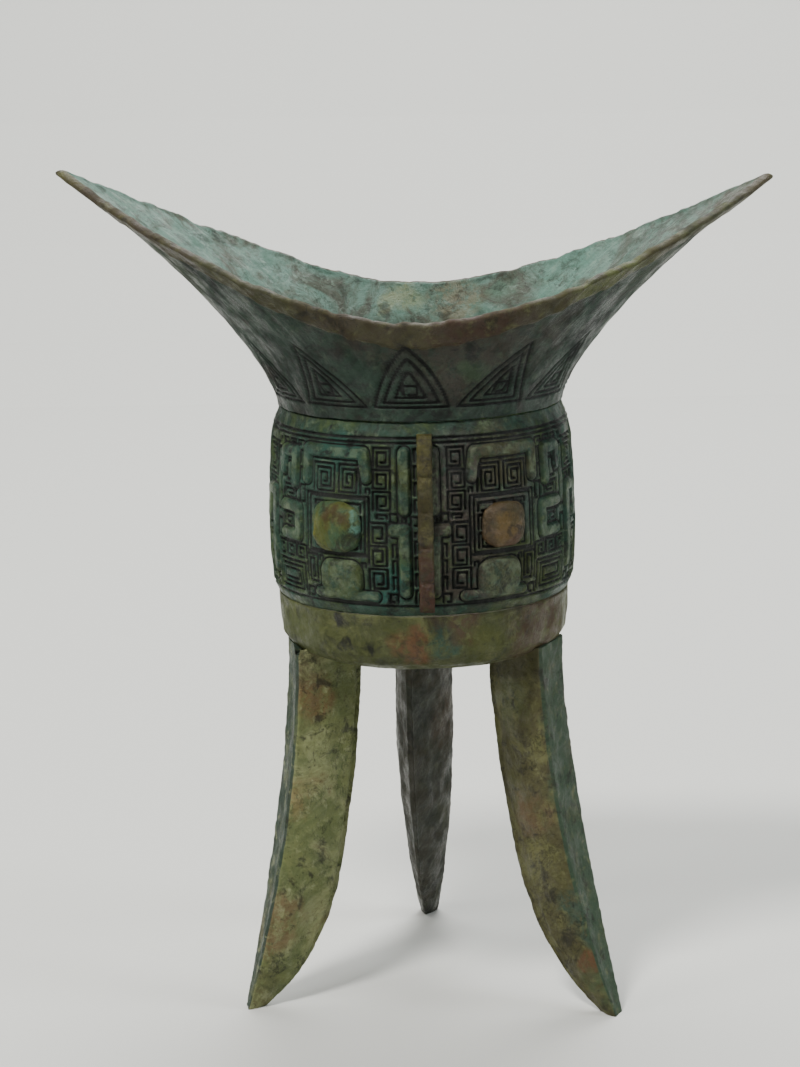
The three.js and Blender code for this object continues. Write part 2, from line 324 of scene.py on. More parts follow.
class Relief:
    def __init__(self, width, height, cell=0.1):
        self.cell = cell
        self.across = np.arange(0, width + cell, cell)
        self.up = np.arange(0, height + cell, cell)
        self.gridX, self.gridY = np.meshgrid(self.across, self.up)
        self.line = np.full(self.gridX.shape, far)       # distance to the nearest groove
        self.plate = np.full(self.gridX.shape, far)      # below 0 inside a raised plate

    def window(self, lowX, highX, lowY, highY, margin):
        left, right = np.searchsorted(self.across, (lowX - margin, highX + margin))
        bottom, top = np.searchsorted(self.up, (lowY - margin, highY + margin))
        return slice(bottom, top), slice(left, right)

    def distance(self, start, end, margin):
        area = self.window(min(start[0], end[0]), max(start[0], end[0]),
                           min(start[1], end[1]), max(start[1], end[1]), margin)
        x, y = self.gridX[area], self.gridY[area]
        runX, runY = end[0] - start[0], end[1] - start[1]
        length = runX * runX + runY * runY + 1e-9
        along = np.clip(((x - start[0]) * runX + (y - start[1]) * runY) / length, 0, 1)
        return area, np.hypot(x - start[0] - along * runX, y - start[1] - along * runY)

    def groove(self, *points):
        for start, end in zip(points, points[1:]):
            area, gap = self.distance(start, end, 1.2)
            self.line[area] = np.minimum(self.line[area], gap)

    def band(self, width, *points):
        for start, end in zip(points, points[1:]):
            area, gap = self.distance(start, end, width + 2)
            self.plate[area] = np.minimum(self.plate[area], gap - width / 2)

    def block(self, x, y, width, height, corner):
        gapX = np.abs(self.gridX - x) - width / 2 + corner
        gapY = np.abs(self.gridY - y) - height / 2 + corner
        inside = np.minimum(np.maximum(gapX, gapY), 0)
        outside = np.hypot(np.maximum(gapX, 0), np.maximum(gapY, 0)) + inside
        self.plate = np.minimum(self.plate, outside - corner)

    def spiral(self, x, y, width, height, pitch=1.12, turn=1):
        # a squared thunder spiral that winds in from a corner
        left, right = x - width / 2, x + width / 2
        low, high = y - height / 2, y + height / 2
        points = [(left, low)]
        while right - left > pitch * 0.8 and high - low > pitch * 0.8:
            points += [(left, high), (right, high), (right, low), (left + pitch, low)]
            left, high, right, low = left + pitch, high - pitch, right - pitch, low + pitch
        if turn < 0:
            points = [(2 * x - px, py) for px, py in points]
        self.groove(*points)

    def fillGround(self, width, height, pitch):
        # small spirals wherever the ground is still bare
        turn = 1
        for y in np.arange(height / 2 + 1, self.up[-1] - height / 2 - 1, filling["step"]):
            for x in np.arange(width / 2, self.across[-1] - width / 2 - 0.5, filling["step"]):
                area = self.window(x - width / 2, x + width / 2, y - height / 2, y + height / 2, 0.0)
                besidePlate, besideGroove = self.plate[area].min(), self.line[area].min()
                if besidePlate > filling["besidePlate"] and besideGroove > filling["besideGroove"]:
                    self.spiral(x, y, width, height, pitch, turn)
                    turn = -turn

    def cast(self):
        # 0 in a groove, 1 on the ground and 2 on a plate
        field = smoothStep(*castEdges["groove"], self.line)
        outline = smoothStep(*castEdges["sinks"], self.plate)
        outline = outline * (1 - smoothStep(*castEdges["rises"], self.plate))
        field = field * (1 - outline)
        raised = 1 - smoothStep(*castEdges["plate"], self.plate)
        self.table = np.maximum(field, raised) + raised
        return self

    def at(self, x, y):
        column = np.clip(x / self.cell, 0, len(self.across) - 1.001)
        row = np.clip(y / self.cell, 0, len(self.up) - 1.001)
        left, low = column.astype(int), row.astype(int)
        right, up = column - left, row - low
        table = self.table
        return ((table[low, left] * (1 - right) + table[low, left + 1] * right) * (1 - up)
                + (table[low + 1, left] * (1 - right) + table[low + 1, left + 1] * right) * up)


mask = {"quarter": 61.2, "low": 106.3, "high": 147.7, "eye": (21.8, 19.7), "plate": 2.6}


def maskRelief():
    # half of a beast mask, from the flange (0) round to the side; the other half mirrors it
    height = mask["high"] - mask["low"]
    eyeX, eyeY = mask["eye"]
    plate = mask["plate"]
    relief = Relief(mask["quarter"], height)
    relief.groove((0, 0.5), (mask["quarter"], 0.5))
    relief.groove((0, height - 0.5), (mask["quarter"], height - 0.5))
    relief.groove((0, height - 1.6), (mask["quarter"], height - 1.6))
    # nose: smooth strip beside the flange, hooked at its foot
    relief.band(plate, (3.6, 24), (3.6, height - 4))
    relief.band(plate, (3.6, 4), (3.6, 19), (6.4, 19))
    for row in range(3):
        relief.spiral(9.3, height - 5 - row * 5.2, 4.4, 4.4, 1.05, 1 if row % 2 else -1)
    for row in range(3):
        relief.spiral(10.4, 18.3 - row * 5.6, 4.6, 4.8, 1.08, -1)
    # brow: a broad C over two large spirals
    relief.band(plate, (31.2, 30.2), (31.2, 37.2), (14.2, 37.2), (13.4, 31.5))
    relief.spiral(17.8, 31, 6, 6.6, 1.1, 1)
    relief.spiral(25.4, 31, 6.4, 6.6, 1.1, -1)
    # eye socket, drawn twice round the boss
    for margin in (0.9, 2.0):
        halfWidth, halfHeight = 7.2 + margin, 6.2 + margin * 0.5
        left, right = eyeX - halfWidth, eyeX + halfWidth
        low, high = eyeY - halfHeight, eyeY + halfHeight
        relief.groove((left, 17), (left, high), (right, high), (right, low), (left, low), (left, 17))
    # jaw plate and the teeth line
    relief.block(20.6, 6.7, 11.6, 8.6, 3)
    relief.band(2, (11.2, 2.6), (27.6, 2.6))
    relief.spiral(29.6, 8.4, 3.6, 6.6, 1.05, -1)
    # ear, cheek and horn behind the eye
    relief.band(2.5, (36.2, 28.2), (36.2, 35.8), (41.6, 35.8), (41.6, 31.2))
    relief.band(2.5, (40.8, 15.6), (34.6, 15.6), (34.6, 22.4), (41.2, 22.4))
    relief.spiral(38.9, 31, 2.4, 4.4, 1.0, 1)
    relief.spiral(38.4, 26, 5.4, 3.2, 1.0, -1)
    relief.spiral(38.6, 19, 4.4, 3.4, 1.0, 1)
    for column in range(3):
        relief.spiral(33.6 + column * 4.4, 11.8, 3.6, 3.2, 0.95, 1)
    relief.spiral(38.2, 5.5, 11.6, 6.8, 1.12, 1)
    # body running to the side: tall spirals, a tail and upright lines
    relief.band(plate, (47, 6), (47, 24.8), (52, 24.8), (52, 18))
    relief.spiral(50, 33, 8.6, 8.2, 1.14, -1)
    relief.spiral(51.8, 9, 5.2, 10.6, 1.1, 1)
    relief.spiral(44, 28.5, 2.6, 15, 0.95, 1)
    for line in range(4):
        x = 56.2 + line * 1.25
        relief.groove((x, 1.6), (x, height - 2.6))
    # the largest spirals fill the bare ground first
    fillers = ((4.6, 3.4), (3.2, 3.2), (4.4, 2.0), (1.9, 4.0), (2.0, 2.0), (1.0, 3.0), (2.6, 0.9), (1.0, 1.0))
    for width, tall in fillers:
        relief.fillGround(width, tall, 0.98)
    return relief.cast()


triangles = {"count": 12, "turn": 0.035, "low": 153.6, "high": 170.5, "radius": 37.0,
             "upTo": 0.55}      # the share of the mouth's section that they keep below


def triangleRelief():
    # one upright triangle of the neck, nested lines about a small spiral
    width = 2 * math.pi * triangles["radius"] / triangles["count"]
    height = triangles["high"] - triangles["low"]
    relief = Relief(width, height)
    middle = width / 2
    for inset in (0, 1.5, 3.2):
        half, low, high = 8.7 - inset * 1.75, 0.9 + inset * 0.75, height - 1.0 - inset * 1.9
        relief.groove((middle - half, low), (middle, high), (middle + half, low), (middle - half, low))
    relief.spiral(middle, 5.1, 2.7, 2.2, 0.9)
    return relief.cast()


# neck, wings and lip: one skin over the two cast stretches

mouth = {
    "neckRadius": 35.4, "rise": 25.1, "halfDepth": 42.7, "flare": 1.42, "lipHeight": 5.5, "lipProud": 1.0,
    "left": {"reach": 88.5, "rise": 33.4, "riseCurve": 1.2, "planCurve": 2.73},
    "right": {"reach": 87.3, "rise": 29.2, "riseCurve": 1.32, "planCurve": 2.44},
    "seat": 0.15, "saddle": 0.2, "worn": 0.25, "chips": 1.1, "edge": 0.9, "thinner": 1.3, "cut": 0.45,
    "around": 560, "section": 168, "lipInset": 0.4, "insideFrom": 0.65,
}
# shares of the ring's section: the outer face, the rounded edge and the inner face end here
outerEnd, edgeEnd, innerEnd = 0.62, 0.66, 0.96


def shapeMouth(angle, share):
    outward = np.abs(np.cos(angle))
    left = np.cos(angle) < 0
    reach, rise, riseCurve, planCurve = (np.where(left, mouth["left"][key], mouth["right"][key])
                                         for key in ("reach", "rise", "riseCurve", "planCurve"))
    saddle = mouth["saddle"]
    soft = (np.sqrt(outward ** 2 + saddle ** 2) - saddle) / (math.sqrt(1 + saddle ** 2) - saddle)
    rimZ = drumTop + mouth["rise"] + rise * soft ** riseCurve
    start = drumTop + mouth["seat"]
    # the lip wavers where it is worn and chipped
    spots = zip(np.cos(angle) * 9, np.sin(angle) * 6)
    waver = np.array([noise.fractal(Vector((spotX, spotY, 0.4)), 0.8, 2.1, 4) for spotX, spotY in spots])
    rimZ = rimZ - mouth["worn"] - np.abs(waver) * mouth["chips"] * (1 - outward ** 8)
    level = np.interp(share, (0, 0.42, outerEnd, edgeEnd, innerEnd, 1.0), (0, 0.4, 1, 1, 0, 0))
    below = (1 - level) * (rimZ - start)
    turn = np.clip((share - outerEnd) / (edgeEnd - outerEnd), 0, 1) * math.pi
    proud = mouth["lipProud"]
    thick = proud + wall - mouth["thinner"] * smoothStep(0.55, 1.0, level)
    underLip = proud * smoothStep(mouth["lipHeight"] - 0.5, mouth["lipHeight"] + 0.5, below)
    inset = np.where(share < outerEnd, underLip, thick)
    inset = np.where((share >= outerEnd) & (share < edgeEnd), thick * (1 - np.cos(turn)) / 2, inset)
    inset = np.where(share > innerEnd, np.interp(share, (innerEnd, 1.0), (wall + proud, proud)), inset)
    top = rimZ - mouth["edge"]
    level = np.where(share >= innerEnd, 0, level)
    spread = level ** mouth["flare"]
    radius = mouth["neckRadius"] + proud - inset
    rimX = np.cos(angle) * (reach - inset * 1.3)
    rimY = np.sign(np.sin(angle)) * (mouth["halfDepth"] - inset) * (1 - outward ** planCurve)
    rimY = np.where(np.abs(np.sin(angle)) < 1e-6, 0, rimY)
    x = radius * np.cos(angle) * (1 - spread) + rimX * spread
    y = radius * np.sin(angle) * (1 - spread) + rimY * spread
    z = start + (top - start) * level + mouth["edge"] * np.sin(turn)
    return x, y, z, inset


def makeMouth():
    mesh, angle, share = ringGrid(mouth["around"], mouth["section"])
    x, y, z, inset = shapeMouth(angle, share)
    relief = triangleRelief()
    width = relief.across[-1]
    tile = ((angle + math.pi / 2 + triangles["turn"]) / (2 * math.pi) * triangles["count"] + 0.5) % 1.0
    inBand = (share < triangles["upTo"]) & (z > triangles["low"]) & (z < triangles["high"])
    height = np.where(inBand, relief.at(tile * width, z - triangles["low"]), 1.0)
    shrink = 1 - mouth["cut"] * (1 - np.minimum(height, 1)) / np.hypot(x, y)
    writePoints(mesh, np.stack((x * shrink, y * shrink, z), axis=1))
    roughen(mesh, 0.16, 5.0, 4, 1.7)
    faceShare = np.array([share[face.vertices[0]] for face in mesh.polygons])
    faceInset = np.array([inset[face.vertices[0]] for face in mesh.polygons])
    onLip = (faceInset < mouth["lipInset"]) | (faceShare > outerEnd)
    zone = np.where(faceShare > mouth["insideFrom"], 2, np.where(onLip, 1, 0))      # inner face, lip, neck
    mesh.polygons.foreach_set("material_index", zone.astype(np.int32))
    looks = [patina("shaded neck bronze", shadedNeckLook), patina("lip bronze", lipLook),
             patina("lit inner bronze", litInnerLook)]
    return finishPiece(mesh, "mouth_and_wings", looks, height, ("mouth_flare", "rim_lip"))


# the neck's dark tones and low depth are partly patina and partly painted shade under the overhanging lip
shadedNeckLook = {
    "tones": ("#1a231e", "#2a3a31", "#3f5a4a", "#33382f", "#4c473b"), "pale": "#7f8f74", "dark": "#0f120e",
    "bloom": 0.35, "depth": 0.3, "mottle": 85,
    "patches": (
        (12, -38, 168, 13, "#5c5448", 0.75), (-8, -38, 172, 9, "#565044", 0.6),
        (26, -30, 172, 11, "#4b4a3e", 0.7),
        # the dark patch at the neck's left, at (-28, -26), is painted shade
        (14, -37, 163, 4.5, "#587a58", 0.55), (-28, -26, 160, 12, "#2b3a33", 0.6),
        (60, -10, 190, 16, "#4d5a3c", 0.6),
        (-60, -8, 186, 15, "#5a6540", 0.55),
    ),
}
lipLook = {
    "tones": ("#3f3f2a", "#585436", "#4d4331", "#66623d"), "pale": "#92966a", "dark": "#1e1d15",
    "bloom": 0.45, "depth": 0.36, "crust": 0.6,
    "patches": (
        (14, -42, 177, 10, "#563c31", 0.75), (44, -30, 186, 13, "#737f42", 0.7),
        (70, -14, 197, 12, "#545d36", 0.65),
        (-40, -34, 184, 16, "#4c5134", 0.6), (-85, 0, 207, 8, "#6c6a3c", 0.6),
        (86, 0, 204, 6, "#5a4e30", 0.6),
    ),
}
# the inner face is lighter and paler than the rest, partly its own patina and partly painted light from above
# falling into the mouth
litInnerLook = {
    "tones": ("#456357", "#5f8575", "#76998a", "#585c4e", "#688673"), "pale": "#9ab5a3", "dark": "#30332a",
    "bloom": 0.5, "crust": 0.6, "mottle": 60, "depth": 0.55, "rich": 1.0,
    "patches": (
        (-30, 20, 175, 12, "#7a8272", 0.6), (8, 38, 170, 8, "#8d8468", 0.7),
        (-5, 40, 172, 5, "#a8b083", 0.6),
        (62, 10, 190, 18, "#4f564c", 0.75), (35, 30, 178, 10, "#6fa08e", 0.6),
        (78, 4, 200, 10, "#5b5548", 0.7),
    ),
}


# relief drum, in a front and a rear half that meet at the sides

drum = {"around": 470, "section": 196, "inner": 0.93, "cut": 0.62, "raise": 0.5, "skin": 0.45,
        "wear": 0.5, "leastCut": 0.5, "mostCut": 1.3}
drumHeights = (104.15, 105.2, 107, 113, 120, 134, 142.5, 146.6, 149.2, 150.85)
drumRadii = (36.7, 37.3, 38.1, 38.6, 38.8, 38.4, 37.8, 37.1, 35.9, 35.4)


def makeDrum(name, start, nodes):
    mesh, angle, share = ringGrid(drum["around"], drum["section"], start, math.pi)
    low, high = drumHeights[0], drumHeights[-1]
    inner = drum["inner"]
    outside = share < inner
    upOutside = low + (high - low) * share / inner
    downInside = high - (high - low) * (share - inner) / (1 - inner)
    z = np.where(outside, upOutside, downInside)
    outline = np.interp(z, drumHeights, drumRadii)
    quarter = np.abs((angle + math.pi) % math.pi - math.pi / 2) / (math.pi / 2)      # 0 at the front and rear
    height = np.where(outside, maskField.at(quarter * mask["quarter"], z - mask["low"]), 1.0)
    border = (z < mask["low"]) | (z > mask["high"])
    height = np.where(border, 1.0, height)
    worn = np.array([noise.fractal(Vector((math.cos(a) * 4, math.sin(a) * 4, h / 9)), 0.9, 2.0, 3)
                     for a, h in zip(angle, z)])
    depth = drum["cut"] * np.clip(1.0 - drum["wear"] * worn, drum["leastCut"], drum["mostCut"])
    sunk = drum["skin"] + depth * (1 - np.minimum(height, 1))
    raised = drum["raise"] * np.maximum(height - 1, 0)
    radius = np.where(outside, outline - sunk + raised, outline - wall)
    writePoints(mesh, np.stack((radius * np.cos(angle), radius * np.sin(angle), z), axis=1))
    roughen(mesh, 0.13, 3.2, 4, 4.1)
    return finishPiece(mesh, name, [patina(name + " bronze", drumLook)], height, nodes)


drumLook = {
    "tones": ("#2a4034", "#3d6253", "#334c38", "#586c40", "#3a584a"), "pale": "#97a888", "dark": "#12150f",
    "bloom": 0.5, "crust": 0.85, "depth": 0.35, "mottle": 95,
    "patches": (
        (16, -36, 136, 15, "#57504a", 0.95), (12, -37, 118, 13, "#4e463c", 0.95),
        (24, -30, 112, 10, "#5e6640", 0.8),
        (22, -31, 142, 9, "#545836", 0.7), (34, -18, 128, 14, "#37594a", 0.65),
        (-20, -33, 143, 8, "#3b6e62", 0.6),
        (-19, -34, 112, 7, "#5f6a35", 0.6), (-32, -22, 130, 14, "#456a59", 0.55),
        (-6, -38, 112, 5, "#2f6a60", 0.75),
        (-6, -38, 138, 5, "#636c38", 0.6),
    ),
}


# plain band and the gently rounded bottom

# reach and height, along the outside from the middle of the bottom, and back along the inside
bowlOutside = ((0, 87.6), (16, 87.9), (26, 88.5), (31, 89.6), (34.2, 91.4), (35.6, 93.6), (36.0, 97),
               (36.3, 101), (36.5, 103.85))
bowlInside = ((33.8, 103.85), (33.4, 97.6), (31.4, 93.6), (25.8, 91.6), (14, 90.7), (0, 90.4))


bowl = {"around": 400, "stations": 170}


def makeBowl():
    bm = bmesh.new()
    # stations along the profile, closer together than the grain of the corrosion
    corners = np.array(bowlOutside + bowlInside)
    lengths = np.concatenate(([0], np.cumsum(np.hypot(*np.diff(corners, axis=0).T))))
    stations = np.linspace(0, lengths[-1], bowl["stations"])
    radii = np.interp(stations, lengths, corners[:, 0])
    heights = np.interp(stations, lengths, corners[:, 1])
    verts = [bm.verts.new((radius, 0, height)) for radius, height in zip(radii, heights)]
    edges = [bm.edges.new(pair) for pair in zip(verts, verts[1:])]
    bmesh.ops.spin(bm, geom=verts + edges, axis=(0, 0, 1), cent=(0, 0, 0), angle=2 * math.pi,
                   steps=bowl["around"], use_merge=True)
    bmesh.ops.remove_doubles(bm, verts=bm.verts, dist=0.001)
    bmesh.ops.recalc_face_normals(bm, faces=bm.faces)
    mesh = newMesh(bm, "bowl")
    roughen(mesh, 0.2, 6.0, 5, 2.9)
    return finishPiece(mesh, "plain_band_and_bottom", [patina("base bronze", baseLook)],
                       None, ("base_bowl",))


baseLook = {
    "tones": ("#444a2b", "#5f653c", "#515831", "#70754a", "#534a33"), "pale": "#8b9062", "dark": "#1a1c13",
    "bloom": 0.5, "crust": 0.55, "mottle": 80,
    "patches": (
        (-3, -36, 95, 5, "#80593f", 0.8), (5, -36, 98, 3.5, "#3a6255", 0.75),
        (30, -20, 98, 13, "#5a3f33", 0.75),
        (16, -33, 96, 6, "#666a3a", 0.6), (-21, -29, 101, 2.6, "#12130f", 0.95),
        (-20, -30, 93, 1.8, "#12130f", 0.9),
        (-13.5, -33, 94, 1.8, "#12130f", 0.9), (10, -35, 103, 5, "#5f4436", 0.7),
        (-32, -16, 97, 10, "#66703f", 0.6),
    ),
}


# legs: tapering blades with a ridge inwards, swept out to the feet

blade = {"width": 15.2, "depth": 17.5, "footWidth": 4.4, "footDepth": 5.0, "rootRadius": 35.3, "top": 92.0,
         "underside": 87.6, "sweep": 1.6, "widthTaper": 60, "depthTaper": 50, "around": 96, "rows": 300,
         "sunk": 1.1, "beside": 36.3, "besideTop": 90.6,      # where the top ends, in the bowl and beside it
         "sole": 0.4, "outerFace": (46, 56)}
# the section's corners as angle, side and depth: ridge, long flanks, worn edges, slightly hollow outer face
bladeSection = ((-180, 0.07, -1.0), (-150, -0.2, -0.75), (-120, -0.37, -0.5), (-80, -0.47, -0.22),
                (-55, -0.5, -0.05), (-40, -0.42, 0), (0, 0, -0.025), (40, 0.42, 0), (55, 0.5, -0.05),
                (80, 0.47, -0.22), (120, 0.37, -0.5), (150, 0.2, -0.75), (180, 0.07, -1.0))
legPlaces = {
    "leg_front_left": {"root": 201, "foot": (-46.3, -22.5), "facing": 192, "ridge": 0},
    "leg_front_right": {"root": -25, "foot": (47.2, -30), "facing": -24, "ridge": 0},
    "leg_rear": {"root": 91.5, "foot": (-1, 49), "facing": 90, "ridge": 3},
}


def compass(degrees):
    return np.array((math.cos(math.radians(degrees)), math.sin(math.radians(degrees))))


def makeLeg(name, place, look, seed):
    bm = bmesh.new()
    bmesh.ops.create_circle(bm, segments=blade["around"], radius=1, cap_ends=True)
    ring = bm.faces[:]
    for row in range(blade["rows"]):
        raised = bmesh.ops.extrude_face_region(bm, geom=ring)["geom"]
        bmesh.ops.translate(bm, verts=[part for part in raised if isinstance(part, bmesh.types.BMVert)],
                            vec=(0, 0, 1))
        bmesh.ops.delete(bm, geom=[face for face in ring if face.is_valid and row > 0], context="FACES_ONLY")
        ring = [part for part in raised if isinstance(part, bmesh.types.BMFace)]
    mesh = newMesh(bm, name)
    points = readPoints(mesh)
    height = points[:, 2] / blade["rows"] * blade["top"]
    angle = np.arctan2(points[:, 1], points[:, 0])
    sweep = np.maximum(0, 1 - height / blade["underside"]) ** blade["sweep"]
    root = compass(place["root"]) * blade["rootRadius"]
    outward = compass(place["facing"])
    sideways = np.array((-outward[1], outward[0]))
    widening = 1 - np.maximum(0, 1 - height / blade["widthTaper"]) ** 2
    wide = blade["footWidth"] + (blade["width"] - blade["footWidth"]) * widening
    deepening = 1 - np.maximum(0, 1 - height / blade["depthTaper"]) ** 4
    deep = blade["footDepth"] + (blade["depth"] - blade["footDepth"]) * deepening
    ridge = place["ridge"] * wide / blade["width"]
    turns, sides, depths = np.array(bladeSection).T
    side = np.interp(angle, np.radians(turns), sides)
    out = np.interp(angle, np.radians(turns), depths)
    side = np.where(np.abs(angle) > 3.0, side * 0.2, side)
    across = side * wide - out * ridge
    inward = out * deep
    x = root[0] * (1 - sweep) + place["foot"][0] * sweep + sideways[0] * across + outward[0] * inward
    y = root[1] * (1 - sweep) + place["foot"][1] * sweep + sideways[1] * across + outward[1] * inward
    # the top ends inside the bowl's wall
    reach = np.hypot(x, y)
    bowlReach, bowlHeight = np.array(bowlOutside).T
    seat = np.interp(reach, bowlReach, bowlHeight) + blade["sunk"]
    ground = np.minimum(height, np.where(reach > blade["beside"], blade["besideTop"], seat))
    writePoints(mesh, np.stack((x, y, ground), axis=1))
    roughen(mesh, 0.26, 10.0, 5, seed)
    roughen(mesh, 0.13, 1.8, 3, seed + 3)
    # the foot's sole stays flat on the floor
    points = readPoints(mesh)
    points[:, 2] = np.where(ground < blade["sole"], np.maximum(ground, 0), np.maximum(points[:, 2], 0.05))
    writePoints(mesh, points)
    outerFace = 1 - smoothStep(*np.radians(blade["outerFace"]), np.abs(angle))
    return finishPiece(mesh, name + "_blade", [patina(name + " bronze", look)], None,
                       (name,), outerFace)


# the left leg's light tones and higher depth are partly its patina and partly painted light on the leg that
# faces the key
litLeftLegLook = {
    "tones": ("#666e3e", "#8b9358", "#76824c", "#a3a871", "#776a41"), "pale": "#b9be8a", "dark": "#2a2918",
    "strip": "#2f4638",
    "bloom": 0.6, "crust": 0.75, "mottle": 60, "gloss": 0.45, "depth": 0.52, "rich": 0.95,
    "patches": (
        (-28, -20, 80, 7, "#8b6a43", 0.75), (-34, -20, 55, 6, "#a58a55", 0.6),
        (-40, -22, 22, 8, "#84623f", 0.7),
        (-38, -12, 70, 5, "#3c5a48", 0.85), (-41, -13, 50, 5, "#3c5a48", 0.85),
        (-45, -16, 28, 5, "#415a45", 0.8),
        (-30, -16, 88, 6, "#5a4a35", 0.7), (-27, -18, 66, 6, "#b4ba80", 0.6),
        (-44, -22, 8, 6, "#6a6c3f", 0.7),
    ),
}
rightLegLook = {
    "tones": ("#4f5230", "#6a6a3c", "#5d5934", "#7d7e4a", "#574c32"), "pale": "#93955f", "dark": "#211f13",
    "strip": "#3c5a3f",
    "bloom": 0.5, "crust": 0.75, "mottle": 65, "gloss": 0.45, "depth": 0.44, "rich": 0.95,
    "patches": (
        (22, -16, 78, 7, "#6f7a4a", 0.6), (34, -22, 70, 6, "#4e7355", 0.8),
        (36, -24, 56, 6, "#4e7355", 0.75),
        (28, -18, 50, 7, "#7b603f", 0.7), (40, -26, 26, 7, "#3c6457", 0.75),
        (42, -28, 16, 3.2, "#80502d", 0.8),
        (46, -30, 8, 6, "#5c7348", 0.65), (32, -20, 38, 6, "#8a8a50", 0.6),
    ),
}
rearLegLook = {
    "tones": ("#2d3227", "#3f4535", "#4d4a38", "#39402f"), "pale": "#6c6c4c", "dark": "#14160f",
    "bloom": 0.35, "depth": 0.28, "crust": 0.6,
    "patches": (
        (5, 34, 60, 9, "#5c4c38", 0.7), (5, 38, 30, 7, "#5b5a38", 0.6), (-3, 45, 10, 6, "#55562f", 0.6),
    ),
}


# flange: an upright rib with worn notches in its face

flange = {"width": 3.8, "middle": 1.5, "proud": 2.2, "sunk": 1.6, "low": 105.8, "high": 148.2,
          "notches": (113, 121.5, 130, 138.5), "notchDeep": 0.35, "notchHalf": 0.5,
          "roundFrom": 0.45, "roundDeep": 1.6, "narrowing": 0.08}


def makeFlange():
    bm = bmesh.new()
    bmesh.ops.create_cube(bm, size=1)
    bmesh.ops.subdivide_edges(bm, edges=bm.edges, cuts=15, use_grid_fill=True)
    upright = [edge for edge in bm.edges if abs(edge.verts[0].co.z - edge.verts[1].co.z) > 1e-4]
    bmesh.ops.subdivide_edges(bm, edges=upright, cuts=8, use_grid_fill=True)
    mesh = newMesh(bm, "flange")
    points = readPoints(mesh)
    height = flange["low"] + (points[:, 2] + 0.5) * (flange["high"] - flange["low"])
    back = points[:, 1] + 0.5                      # 0 on the face, 1 against the drum
    face = np.interp(height, drumHeights, drumRadii) + flange["proud"]
    rounding = np.maximum(0, np.abs(points[:, 0]) * 2 - flange["roundFrom"]) ** 2 * flange["roundDeep"]
    notch = sum(np.exp(-((height - place) / flange["notchHalf"]) ** 2) for place in flange["notches"])
    worn = rounding + notch * flange["notchDeep"]
    y = -(face - back * (flange["proud"] + flange["sunk"]) - worn * (1 - back))
    x = flange["middle"] + points[:, 0] * flange["width"] * (1 - flange["narrowing"] * (1 - back))
    writePoints(mesh, np.stack((x, y, height), axis=1))
    roughen(mesh, 0.16, 2.6, 4, 6.3)
    return finishPiece(mesh, "flange_rib", [patina("flange bronze", flangeLook)], None,
                       ("front_flange",))


flangeLook = {
    "tones": ("#3f4126", "#5a5a30", "#4a4226", "#573c27"), "pale": "#8f8a58", "dark": "#17140c", "bloom": 0.5,
    "crust": 0.75, "depth": 0.32,
    "patches": (
        (1.5, -41, 143, 8, "#6f6a34", 0.6), (1.5, -41, 128, 8, "#524a2e", 0.6),
        (1.5, -41, 112, 10, "#553022", 0.75),
    ),
}


# eye bosses

eye = {"turn": 32, "height": 125.5, "width": 13.6, "tall": 12.4, "proud": 2.5, "sunk": 0.6, "square": 0.74,
       "crown": 0.85, "bend": 0.0125}


def makeEye(place, azimuth, look, shrink, seed):
    bm = bmesh.new()
    bmesh.ops.create_uvsphere(bm, u_segments=96, v_segments=64, radius=1)
    mesh = newMesh(bm, "eye")
    points = readPoints(mesh)
    # a sphere squared in outline and flattened on its crown
    side = signedPower(points[:, 0], eye["square"])
    tall = signedPower(points[:, 1], eye["square"])
    crown = signedPower(points[:, 2], eye["crown"])
    turn = math.radians(azimuth)
    drumFace = float(np.interp(eye["height"], drumHeights, drumRadii))
    bend = eye["bend"] * (side * eye["width"] / 2) ** 2      # follows the drum
    out = drumFace - eye["sunk"] + crown * eye["proud"] * shrink - bend
    across = side * eye["width"] / 2 * shrink
    x = np.cos(turn) * out - np.sin(turn) * across
    y = np.sin(turn) * out + np.cos(turn) * across
    writePoints(mesh, np.stack((x, y, eye["height"] + tall * eye["tall"] / 2 * shrink), axis=1))
    roughen(mesh, 0.28, 3.6, 4, seed)
    return finishPiece(mesh, "eye_" + place, [patina("eye " + place, look)], None,
                       ("eye_boss_" + place,))


leftEyeLook = {
    "tones": ("#3f5a34", "#666c34", "#4b6a4c", "#5b5a2c"), "pale": "#8f9c68", "dark": "#20200f",
    "patches": ((-21, -36, 127, 2.6, "#4e3a20", 0.8), (-25, -34, 122, 3, "#a09a42", 0.7),
                # the pale teal spot at the eye's upper right, (-16.5, -37, 126), is a painted highlight
                (-16.5, -37, 126, 2.6, "#7fb0a2", 0.8)),
}
rightEyeLook = {
    "tones": ("#4f4630", "#75604a", "#5a4c34", "#4c4c30"), "pale": "#a08c72", "dark": "#211c12", "crust": 0.8,
    "patches": ((21, -35, 126, 3.4, "#8c7348", 0.6), (24, -33, 122, 3, "#6c4c38", 0.6)),
}


# handle and its beast head, at the back

handle = {"root": 34.9, "middle": 128.0, "outward": 31.0, "upward": 18.5, "bar": 5.2, "width": 11.0,
          "square": 0.45, "grooveAt": 0.42, "grooveHalf": 0.1, "grooveDeep": 0.45}


